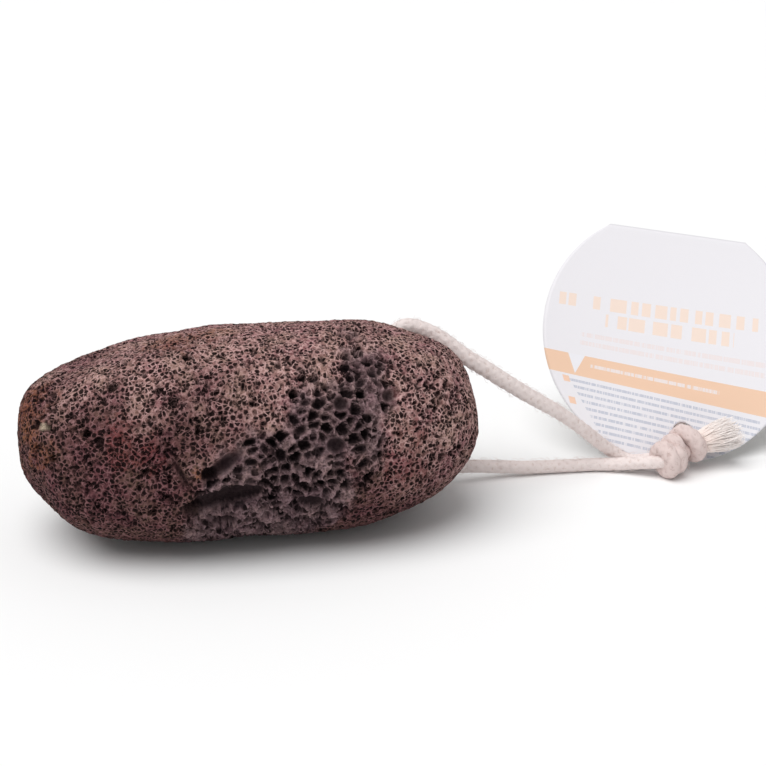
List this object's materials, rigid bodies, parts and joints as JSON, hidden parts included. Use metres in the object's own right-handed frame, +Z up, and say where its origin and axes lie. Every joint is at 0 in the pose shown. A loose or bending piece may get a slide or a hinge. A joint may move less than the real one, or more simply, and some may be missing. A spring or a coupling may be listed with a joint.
{
  "type": "pumice foot stone on a cord",
  "caption": "Porous reddish-brown volcanic stone for smoothing feet, drilled at one end for a knotted cotton hanging cord with a folded round card tag.",
  "frame": {"origin": "on the surface that the stone lies on, under the middle of the stone's own box; the cord, knot and tag don't count", "axes": "+X along the stone's long side towards the drilled end, +Z up out of the surface, so +Y points away from the face with the coarse bubbles"},
  "size_m": [0.1879, 0.0833, 0.0508],
  "materials": {
    "lava_stone": "natural vesicular lava, reddish brown, rough and open-pored",
    "cotton_cord": "undyed braided cotton, matt, slightly fuzzy",
    "frayed_cotton": "undyed cotton opened into loose fibres",
    "coated_card": "white coated card, satin, with one peach band and plain grey rules"
  },
  "bodies": {
    "root": {"stone": "lava_stone", "cord": "cotton_cord", "knot": "cotton_cord", "cord_ends": "frayed_cotton", "swing_tag": "coated_card"}
  },
  "joints": []
}
